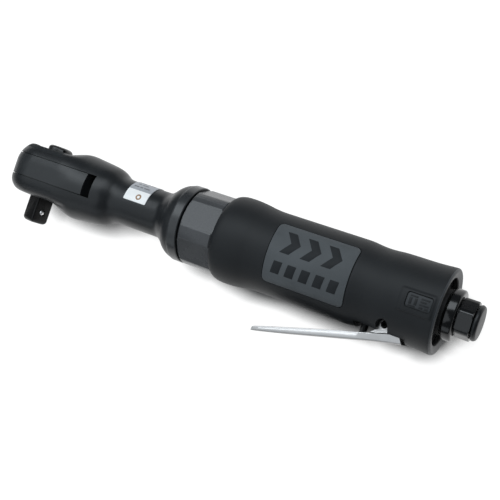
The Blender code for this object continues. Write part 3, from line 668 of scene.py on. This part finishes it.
def make_drive():
    """The drive anvil: a drum for the pawl, a journal at each end, and the square with the ball's bore."""
    drum = [(-12.8, 0), (-12.8, 7.6), (-12.4, 8.1), (-11.9, JOURNAL_R), (-4.0, JOURNAL_R), (-4.0, DRUM_R),
            (7.2, DRUM_R), (7.2, JOURNAL_R), (11.7, JOURNAL_R), (11.7, 0)]
    anvil = turned("drive_anvil_body", drum, axis="Y")
    rings = [square_ring(-10.0, 0.0)]
    for rise, inset in ((2.2, 0.0), (1.5, 0.1), (0.9, 0.35), (0.4, 0.8), (0.1, 1.35), (0.0, 1.9)):
        rings.append(square_ring(SQUARE_TIP + rise, inset))
    join(anvil, loft("square", rings))
    ball_bore = rod("ball_bore", "Z", (0, BALL_Y), -1.5, 8.0, BALL_R + 0.1)
    ball_bore.data.transform(Matrix.Rotation(math.pi / 2 - SQUARE_TURN, 4, "Y"))
    cut(anvil,
        box("pawl_slot", (2.0, -3.0, -13), (13, 6.2, 13)),
        rod("stem_bore", "Y", (0, 0), -2.0, 13, 3.3),
        rod("pin_bore", "Y", (7.4, 0), -3.7, 6.9, 1.8),
        ball_bore)
    hand_over(anvil, "anvil", DRIVE, ["drive_anvil"])


def make_ball():
    profile = [(-BALL_R, 0.0)]
    for a in np.radians(np.linspace(-90, 90, 17)[1:-1]):
        profile.append((BALL_R * math.sin(a), BALL_R * math.cos(a)))
    profile.append((BALL_R, 0.0))
    centre = (BALL_REACH * math.cos(SQUARE_TURN), BALL_Y, BALL_REACH * math.sin(SQUARE_TURN))
    ball = turned("detent_ball_body", profile, 32, "Y", centre)
    hand_over(ball, "detent", BALL, ["detent_ball"])


def make_knob():
    """The reversing knob: a stem, a rounded disc, and a pointer that thins towards its top."""
    disc = [(-1.0, 0), (-1.0, 3.0), (13.0, 3.0), (13.0, 5.2), (14.7, 5.2), (15.25, 5.05), (15.7, 4.7),
            (16.05, 4.2), (16.25, 3.5), (16.3, 2.6), (16.3, 0)]
    knob = turned("reverse_knob_body", disc, axis="Y")
    lug = np.array([(0.6, -4.6), (6.2, -4.2), (7.3, -3.4), (7.8, -2.2),
                    (7.8, 2.2), (7.3, 3.4), (6.2, 4.2), (0.6, 4.6)])
    middle = np.array([2.0, 0.0])
    rings = []
    for y, share in ((13.3, 1.0), (14.2, 1.0), (14.75, 0.97), (15.2, 0.92), (15.6, 0.85), (15.95, 0.74),
                     (16.15, 0.6), (16.25, 0.42)):
        outline = middle + (lug - middle) * share
        rings.append(np.stack([outline[:, 0], np.full(len(lug), y), outline[:, 1]], axis=1))
    join(knob, loft("lug", rings))
    cut(knob,
        rod("spot", "Z", (6.4, 14.4), 3.0, 6, 0.55, 24),
        rod("plunger_bore", "X", (1.6, 0), -2.0, 5.0, 1.5, 24))
    hand_over(knob, "knob", OXIDE, ["reverse_knob"])


def hexagon_radius(angles, apothem, flat_at, largest, rounding):
    """A hexagon's radius at each angle, turned down to a largest radius, with rounded edges.

    flat_at is the middle of one flat, in degrees.
    """
    flat = (angles - math.radians(flat_at) + math.pi / 6) % (math.pi / 3) - math.pi / 6
    radius = apothem / np.cos(flat)
    return -smooth_max(-radius, -np.full(angles.shape, largest), rounding)


def make_nut():
    """The clamp nut, its corners turned down to the collar's diameter."""
    angles = np.linspace(0, 2 * math.pi, 900, endpoint=False)
    hexagon = hexagon_radius(angles, NUT_APOTHEM, NUT_TILT, COLLAR_R, 0.12)
    rings = []
    for x, largest in ((NUT_FRONT, 18.35), (NUT_FRONT + 0.25, 18.75), (NUT_FRONT + 0.7, 19.25),
                       (NUT_FRONT + 1.2, 20.0), (NUT_BACK - 0.5, 20.0), (NUT_BACK, 18.9)):
        rings.append(along_x(x, np.minimum(hexagon, largest), angles))
    for x in (NUT_BACK, NUT_FRONT):
        rings.append(along_x(x, SPIGOT_R, angles))
    nut = loft("clamp_nut_body", rings, closed_ends=False)
    hand_over(nut, "housing", NUT, ["clamp_nut"], sharp=30)


# ---------------------------------------------------------------- handle

# The sleeve's radius along the handle
SLEEVE_LINE = smooth_curve([(SLEEVE_FRONT, 18.8), (SLEEVE_FRONT + 0.15, 19.8), (SLEEVE_FRONT + 0.9, 20.7),
                            (113.8, 21.35), (116.5, 21.66), (121.0, 21.6), (126.0, 21.1), (130.0, 20.5),
                            (134.5, 20.12), (140.0, 20.05), (160.0, 20.05), (178.0, 20.05), (182.0, 19.95),
                            (186.0, 19.5), (190.0, 19.25), (194.0, 19.4), (198.0, 19.7), (204.0, 19.8),
                            (212.0, 19.85), (217.0, 20.05), (220.5, 20.3), (222.3, 20.35),
                            (SLEEVE_BACK - 0.5, 20.1), (SLEEVE_BACK - 0.1, 19.6), (SLEEVE_BACK, 19.0)], 5)


def pad_height(x, degrees):
    """The raised pad near the rear: 0.5 mm proud, with soft sides."""
    along = ease(x, 204.9, 206.3) * (1 - ease(x, 220.4, 222.0))
    around = ease(degrees, -17.0, -14.5) * (1 - ease(degrees, 12.5, 15.0))
    return 0.5 * along * around


def make_sleeve():
    """The rubber sleeve, with room for the lever, the badge and the panel, and a painted highlight on its
    rear rim.
    """
    angles = np.linspace(0, 2 * math.pi, 240, endpoint=False)
    degrees = np.degrees(angles)
    degrees = np.where(degrees > 180, degrees - 360, degrees)
    line = []
    for (xa, ra), (xb, rb) in zip(SLEEVE_LINE, SLEEVE_LINE[1:]):
        pieces = max(1, round((xb - xa) / 0.9))
        for k in range(pieces):
            share = k / pieces
            line.append((xa + (xb - xa) * share, ra + (rb - ra) * share))
    line.append(SLEEVE_LINE[-1])
    rings = [along_x(x, r + pad_height(x, degrees), angles) for x, r in line]
    inner = [(SLEEVE_BACK - 0.8, REAR_OPENING + 0.3), (SLEEVE_BACK - 1.2, REAR_OPENING),
             (HOUSING_BACK + 0.3, REAR_OPENING), (HOUSING_BACK + 0.3, SLEEVE_IN), (SLEEVE_FRONT, SLEEVE_IN)]
    rings += [along_x(x, r, angles) for x, r in inner]
    sleeve = loft("grip_sleeve_body", rings, closed_ends=False)
    room = LEVER_HALF + 0.4
    badge_edge = rounded_loop(BADGE_X[0] - 0.45, BADGE_X[1] + 0.45, BADGE_FROM - 1.4, BADGE_TO + 1.4, 2.7,
                              BADGE_R)
    panel_edge = rounded_loop(208.5, 220.3, -9.0, 10.6, 1.2, PANEL_ROOM_R)
    cut(sleeve,
        box("lever_room", (186.5, -25, -room), (211.2, -15.7, room)),
        box("ear_room", (194.0, -25, -room), (205.0, -10.6, room)),
        wrapped("badge_room", [badge_edge], BADGE_R, -0.3, 3.0),
        wrapped("panel_room", [panel_edge], PANEL_ROOM_R, -0.4, 3.0))
    for side in (-1, 1):
        low, high = sorted((side * LEVER_HALF, side * 24))
        cut(sleeve,
            rod(f"ear_window_{side + 2}", "Z", (PIN_X, PIN_Y - 0.3), low, high, 2.7),
            box(f"ear_notch_{side + 2}", (197.6, -18.2, low), (203.3, PIN_Y, high)))
    hand_over(sleeve, "housing", GRIP, ["grip_sleeve"], sharp=32)
    # Painted highlight: the rear rim's faces get the lighter rubber.
    repaint(sleeve, RIM_PAINTED_HIGHLIGHT, lambda x, y, z: x > SLEEVE_BACK - 0.85 and math.hypot(y, z) > REAR_OPENING + 0.1)


def bar(x0, x1, a0, a1, lean=0.0):
    """A leaning bar on the handle: millimetres along X, degrees round it."""
    return [(x0, a0), (x1, a0), (x1 + lean, a1), (x0 + lean, a1)]


def wrapped_marks(name, loops, radius, low, high, edge):
    """Several separate raised marks on the handle as one object."""
    pieces = [wrapped(f"{name}_{n}", [loop], radius, low, high, edge=edge) for n, loop in enumerate(loops)]
    return merge(name, pieces)


def make_badge():
    """The badge plate with generic raised marks: three chevrons over a row of bars."""
    outline = rounded_loop(*BADGE_X, BADGE_FROM, BADGE_TO, 2.3, BADGE_R)
    plate = wrapped("badge_plate_body", [outline], BADGE_R, 0.0, 1.0, edge=0.15)
    hand_over(plate, "housing", BADGE, ["badge_plate"])
    shapes = []
    for k in range(3):
        x = 146.5 + 10.4 * k
        shapes.append([(x, 4.0), (x + 4.6, 4.0), (x + 8.6, 19.0),
                       (x + 4.6, 34.0), (x, 34.0), (x + 4.0, 19.0)])
    for k in range(5):
        x = 144.5 + 7.1 * k
        shapes.append(bar(x, x + 4.2, -25.0, -8.5, 0.9))
    relief = wrapped_marks("badge_relief", shapes, BADGE_R, 0.7, 1.12, 0.05)
    hand_over(relief, "housing", RELIEF)


def make_panel_relief():
    """The sleeve's small panel, a thin plate with generic raised marks."""
    outline = rounded_loop(208.9, 219.9, -7.9, 9.5, 0.9, PANEL_R)
    face = wrapped("panel_face", [outline], PANEL_R, 0.0, 0.35)
    hand_over(face, "housing", PANEL)
    shapes = [bar(210.2, 213.4, 5.6, 7.6), bar(210.0, 211.1, -4.0, 4.0), bar(212.4, 213.5, -4.0, 4.0),
              bar(215.0, 219.0, 5.0, 6.8), bar(215.0, 217.6, 1.2, 3.2), bar(215.0, 219.0, -2.4, -0.6),
              bar(215.0, 216.6, -6.4, -4.2), bar(217.4, 219.0, -6.4, -4.2), bar(210.0, 213.2, -7.0, -5.4)]
    marks = wrapped_marks("panel_marks", shapes, PANEL_R + 0.1, 0.15, 0.42, 0.04)
    hand_over(marks, "housing", GRIP)


def ring_loop(x, degrees, radius, on_radius, count=24):
    """A circle on the handle, its centre at X and an angle."""
    turn = math.degrees(radius / on_radius)
    loop = []
    for i in range(count):
        t = 2 * math.pi * i / count
        loop.append((x + radius * math.cos(t), degrees + turn * math.sin(t)))
    return loop


def make_label():
    """The foil on the neck: silver, with a white band, a ring and three rows of plain strips."""
    low, high = span("neck_label", "X")
    high -= 0.9
    foil = rounded_loop(low, high, 7.0, 117.0, 0.5, NECK_R)
    film = wrapped("neck_label_film", [foil], NECK_R, 0.02, 0.3, edge=0.04)
    hand_over(film, "housing", FILM, ["neck_label"])
    band = rounded_loop(low + 0.1, high - 0.1, 7.4, 39.0, 0.4, NECK_R)
    white = wrapped("neck_label_band", [band], NECK_R, 0.26, 0.40, edge=0.03)
    hand_over(white, "housing", WHITE)
    circles = [ring_loop(62.4, 21.0, radius, NECK_R) for radius in (1.5, 0.8)]
    emblem = wrapped("neck_label_ring", circles, NECK_R, 0.36, 0.46, edge=0.02)
    hand_over(emblem, "housing", SEAL_RING)
    marks = []
    rows = ((56.0, (2.6, 1.4, 3.2)), (56.6, (1.8, 3.4)), (56.0, (3.8, 1.2, 2.0)))
    for row, (start, lengths) in enumerate(rows):
        x = start
        for length in lengths:
            a = 50.0 + 13.0 * row
            marks.append(bar(x, x + length, a, a + 3.6))
            x += length + 0.9
    strips = wrapped_marks("neck_label_marks", marks, NECK_R, 0.27, 0.36, 0.02)
    hand_over(strips, "housing", MARK)


# ---------------------------------------------------------------- lever

# The lever's lower bend and the upper edge of its flanges, as (X, Y)
LOW_LINE = [(141.0, -37.6), (145.4, -36.7), (157.0, -33.75), (170.0, -30.25), (182.0, -27.05), (195.1, -23.5),
            (204.0, -21.4), (210.6, -20.1)]
TOP_LINE = [(141.2, -35.6), (144.4, -34.4), (157.0, -30.6), (170.0, -26.7), (182.0, -23.3), (191.5, -20.8),
            (195.6, -19.6), (199.5, -17.7), (203.5, -16.5), (208.0, -16.1)]


def channel_ring(x_low, y_low, x_top, y_top):
    """One closed section of the pressed channel, its flanges rolled in at the top."""
    half = LEVER_HALF
    inner = half - SHEET
    rise = math.hypot(x_top - x_low, y_top - y_low)
    bend = min(0.9, 0.35 * rise)
    strip = min(0.9 - 0.55 * ease(x_top, 189.0, 194.0), 0.45 * rise)
    lip = min(1.0, 0.3 * rise)
    side = [(0.0, 0.0), (half - bend, 0.0)]
    for a in (22, 45, 68, 90):
        t = math.radians(a)
        side.append((half - bend + bend * math.sin(t), bend - bend * math.cos(t)))
    roll = half - 0.38 * strip
    side += [(half, rise - strip), (half - 0.06, rise - 0.88 * strip), (roll, rise - 0.12 * strip),
             (roll - 0.2, rise), (inner + 0.25, rise), (inner - 0.15, rise - lip)]
    web = min(SHEET, rise - 0.35)
    side += [(inner - 0.2, web + 0.1), (inner - 0.4, web), (0.0, web)]
    loop = side[1:] + [(-z, h) for z, h in side[1:-1][::-1]] + [side[0]]
    points = []
    for z, h in loop:
        share = h / rise
        points.append((x_low + (x_top - x_low) * share, y_low + (y_top - y_low) * share, z))
    return np.array(points)


def point_along(line, share):
    """The point at a share of a line's length."""
    lengths = np.concatenate([[0], np.cumsum(np.hypot(*np.diff(line, axis=0).T))])
    return [np.interp(share * lengths[-1], lengths, line[:, k]) for k in (0, 1)]


def make_lever():
    """The pressed lever: a channel that deepens towards the handle, with two ears for its pin."""
    low = np.array(smooth_curve(LOW_LINE, 5))
    top = np.array(smooth_curve(TOP_LINE, 5))
    rings = []
    for share in np.concatenate([[0.0, 0.012, 0.03], np.linspace(0.06, 0.94, 44), [0.965, 0.985, 1.0]]):
        rings.append(channel_ring(*point_along(low, share), *point_along(top, share)))
    lever = loft("throttle_lever_body", rings)
    ear = [(205.2, -20.0), (204.8, -16.6), (203.4, -15.6)]
    for a in np.radians(range(-20, 201, 20)):
        ear.append((PIN_X + EAR_R * math.cos(a), PIN_Y + EAR_R * math.sin(a)))
    ear += [(197.9, -16.4), (196.9, -18.0), (195.6, -18.9), (195.0, -20.6)]
    for side in (-1, 1):
        near, far = sorted((side * 7.3, side * 8.55))
        plate = prism(f"ear_{side + 2}", ear, near, far, "Z")
        join(lever, soften(plate, 0.18, 60, 2))
    (x0, y0), (x1, y1) = (194.8, -19.75), (204.2, -17.2)
    slope = (y1 - y0) / (x1 - x0)
    seam = [(x0, y0 - 0.2), (x1, y1 - 0.2), (x1, y1 + 0.2), (x0, y0 + 0.2)]
    cut(lever,
        rod("pin_hole", "Z", (PIN_X, PIN_Y), -12, 12, 1.8, 40),
        prism("seam_high", seam, 8.1, 9.4, "Z"),
        prism("seam_low", seam, -9.4, -8.1, "Z"))
    hand_over(lever, "lever", LEVER, ["throttle_lever"], sharp=30)
    # Painted shade: the seam grooves between the ears and the channel are painted black.
    repaint(lever, PAINTED_SHADE_BLACK, lambda x, y, z: x0 - 0.1 < x < x1 + 0.1 and abs(z) > 8.0
            and abs(y - y0 - (x - x0) * slope) < 0.22)


# ---------------------------------------------------------------- air inlet

# Angles round the parts behind the sleeve
ROUND = np.linspace(0, 2 * math.pi, 720, endpoint=False)


def make_bushing():
    """The inlet bushing: a round shank with a hexagon at its end."""
    hexagon = hexagon_radius(ROUND, HEX_APOTHEM, HEX_TILT, HEX_CORNER_R, 0.5)
    start, end = span("inlet_bushing", "X")
    rings = []
    for x, r in ((start, 7.9), (224.0, 7.9), (224.0, BUSHING_R), (HEX_FRONT, BUSHING_R)):
        rings.append(along_x(x, r, ROUND))
    for x, largest in ((HEX_FRONT, 9.1), (HEX_FRONT + 0.4, 9.5), (HEX_FRONT + 0.8, 9.8), (end - 0.7, 9.8),
                       (end - 0.3, 9.45), (end, 8.9)):
        rings.append(along_x(x, np.minimum(hexagon, largest), ROUND))
    for x in (end, start):
        rings.append(along_x(x, THREAD_R, ROUND))
    bushing = loft("inlet_bushing_body", rings, closed_ends=False)
    hand_over(bushing, "housing", INLET, ["inlet_bushing"], sharp=30)


def make_collar():
    """The round exhaust collar behind the sleeve."""
    low, high = span("exhaust_collar", "X")
    profile = [(low, 11.0), (low + 0.6, 12.0), (high - 0.9, 12.0), (high - 0.4, 11.75), (high - 0.1, 11.3),
               (high, 10.8), (high, COLLAR_BORE), (low, COLLAR_BORE)]
    rings = [along_x(x, radius, ROUND) for x, radius in profile]
    collar = loft("exhaust_collar_body", rings, closed_ends=False)
    hand_over(collar, "housing", INLET, ["exhaust_collar"], sharp=30)


def make_plug():
    """The shipping cap in the inlet."""
    first, last = span("inlet_plug", "X")
    profile = [(first, 0), (first, 4.4), (first + 0.6, 4.8), (236.5, 4.8), (236.5, 7.3), (236.65, 7.9),
               (237.0, 8.2), (237.5, 8.3), (238.0, 8.25), (238.35, 8.0), (238.75, 7.75), (last - 0.1, 7.4),
               (last, 6.9), (last, 0)]
    cap = turned("inlet_plug_body", profile)
    hand_over(cap, "plug", CAP, ["inlet_plug"], sharp=45)


# ---------------------------------------------------------------- stage

# Metres in the row frame, and watts
FLOOR_X, FLOOR_Y = (-0.22, 0.42), (-0.26, 0.24)
SHADOW_REACH = 0.017
LIGHT_COLOUR = (0.88, 0.95, 1.0)
LIGHTS = (("key", (-0.15, 0.72, 1.1), (1.7, 0.8), 15.3),
          ("fill", (-0.45, -0.30, 1.1), (1.6, 1.25), 6.5),
          ("front", (-0.3, -1.2, 0.4), (1.6, 0.5), 2.3))
WORLD_COLOUR, WORLD_STRENGTH = (0.9, 0.93, 1.0, 1.0), 0.10
CAMERA_AT = (0.3029, 0.0280, 0.4223)
CAMERA_RIGHT = (0.8698, 0.3243, -0.3718)
CAMERA_BACK = (0.3901, 0.0092, 0.9207)
LENS, SENSOR = 68.3, 36.0


def set_inputs(node, **values):
    for key, value in values.items():
        node.inputs[key.replace("_", " ")].default_value = value


def paper_material():
    """White paper that glows, with a painted shadow: ambient occlusion dims its glow where the tool stands
    over it.
    """
    paper = bpy.data.materials.new("white_paper")
    paper.use_nodes = True
    tree = paper.node_tree
    shader = tree.nodes["Principled BSDF"]
    set_inputs(shader, Base_Color=(0.14, 0.14, 0.14, 1.0), Emission_Color=(1.0, 1.0, 1.0, 1.0), Roughness=0.9,
               Specular_IOR_Level=0.1)
    # Painted shadow: ambient occlusion, leaning towards +Y, dims the paper's glow near the tool.
    painted_shadow = tree.nodes.new("ShaderNodeAmbientOcclusion")
    painted_shadow.samples = 32
    set_inputs(painted_shadow, Distance=SHADOW_REACH)
    leaning = tree.nodes.new("ShaderNodeCombineXYZ")
    set_inputs(leaning, X=-0.1, Y=0.62, Z=0.78)
    glow = tree.nodes.new("ShaderNodeMapRange")
    set_inputs(glow, From_Min=0.48, From_Max=0.81, To_Min=0.02, To_Max=0.97)
    tree.links.new(leaning.outputs["Vector"], painted_shadow.inputs["Normal"])
    tree.links.new(painted_shadow.outputs["AO"], glow.inputs["Value"])
    tree.links.new(glow.outputs["Result"], shader.inputs["Emission Strength"])
    return paper


def make_floor():
    lowest = CAD_BOX[0].z
    (left, right), (near, far) = FLOOR_X, FLOOR_Y
    mesh = bpy.data.meshes.new("floor")
    corners = [(left, near, lowest), (right, near, lowest), (right, far, lowest), (left, far, lowest)]
    mesh.from_pydata(corners, [], [(0, 1, 2, 3)])
    mesh.materials.append(paper_material())
    floor = bpy.data.objects.new("floor", mesh)
    bpy.context.scene.collection.objects.link(floor)


def make_lights():
    """A dim sky and three soft rectangles that face the tool's middle."""
    world = bpy.data.worlds.new("studio")
    bpy.context.scene.world = world
    world.use_nodes = True
    nodes = world.node_tree.nodes
    background = nodes.get("Background") or nodes.new("ShaderNodeBackground")
    set_inputs(background, Color=WORLD_COLOUR, Strength=WORLD_STRENGTH)

    middle = (CAD_BOX[0] + CAD_BOX[1]) / 2
    for name, offset, size, energy in LIGHTS:
        data = bpy.data.lights.new(name, "AREA")
        data.color = LIGHT_COLOUR
        data.shape = "RECTANGLE"
        data.size, data.size_y = size
        data.energy = energy
        lamp = bpy.data.objects.new(name, data)
        lamp.location = middle + Vector(offset)
        lamp.rotation_euler = (middle - lamp.location).to_track_quat("-Z", "Y").to_euler()
        bpy.context.scene.collection.objects.link(lamp)


def make_camera():
    data = bpy.data.cameras.new("camera")
    data.lens = LENS
    data.sensor_width = SENSOR
    camera = bpy.data.objects.new("camera", data)
    right = Vector(CAMERA_RIGHT).normalized()
    back = Vector(CAMERA_BACK)
    back = (back - right * back.dot(right)).normalized()
    up = back.cross(right)
    turn = Matrix((right, up, back)).transposed()
    camera.matrix_world = Matrix.Translation(CAMERA_AT) @ turn.to_4x4()
    bpy.context.scene.collection.objects.link(camera)
    bpy.context.scene.camera = camera
    bpy.context.scene.view_settings.view_transform = "Standard"


dress_cad()
make_head()
make_yoke()
make_drive()
make_ball()
make_knob()
make_nut()
make_sleeve()
make_badge()
make_panel_relief()
make_label()
make_lever()
make_bushing()
make_collar()
make_plug()
make_floor()
make_lights()
make_camera()
